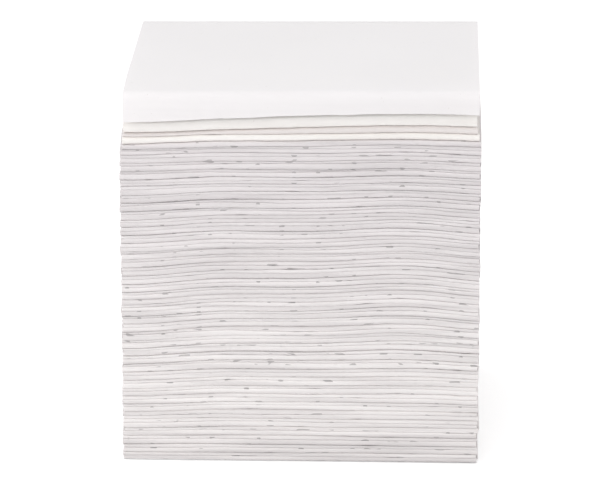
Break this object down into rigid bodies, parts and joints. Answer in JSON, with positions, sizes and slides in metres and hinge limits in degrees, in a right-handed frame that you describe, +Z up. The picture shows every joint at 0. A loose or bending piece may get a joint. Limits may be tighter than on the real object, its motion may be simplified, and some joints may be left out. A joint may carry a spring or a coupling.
{
  "type": "interfolded toilet tissue",
  "caption": "Free-standing pack of white two-ply tissue sheets, each folded once and interleaved with its neighbours, with loosened sheets and a drooping free edge at the top.",
  "frame": {"origin": "centre of the bounding box's base, on the surface the pack stands on", "axes": "+X along the folds, +Y from the front folds to the back folds, +Z up through the stack; the front face with the visible folds looks to -Y"},
  "size_m": [0.11, 0.0961, 0.1177],
  "materials": {
    "tissue": "matt soft creped two-ply tissue, white"
  },
  "bodies": {
    "root": {"top_sheet": "tissue", "loose_front_sheet_1": "tissue", "loose_front_sheet_2": "tissue", "loose_front_sheet_3": "tissue", "loose_front_sheet_4": "tissue", "loose_front_sheet_5": "tissue", "loose_front_sheet_6": "tissue", "loose_front_sheet_7": "tissue", "loose_front_sheet_8": "tissue", "loose_front_sheet_9": "tissue", "loose_front_sheet_10": "tissue", "loose_front_sheet_11": "tissue", "loose_front_sheet_12": "tissue", "loose_back_sheet_1": "tissue", "loose_back_sheet_2": "tissue", "loose_back_sheet_3": "tissue", "loose_back_sheet_4": "tissue", "loose_back_sheet_5": "tissue", "loose_back_sheet_6": "tissue", "loose_back_sheet_7": "tissue", "loose_back_sheet_8": "tissue", "loose_back_sheet_9": "tissue", "loose_back_sheet_10": "tissue", "loose_back_sheet_11": "tissue", "pressed_front_sheets": "tissue", "pressed_back_sheets": "tissue", "bottom_sheet": "tissue"}
  },
  "joints": []
}
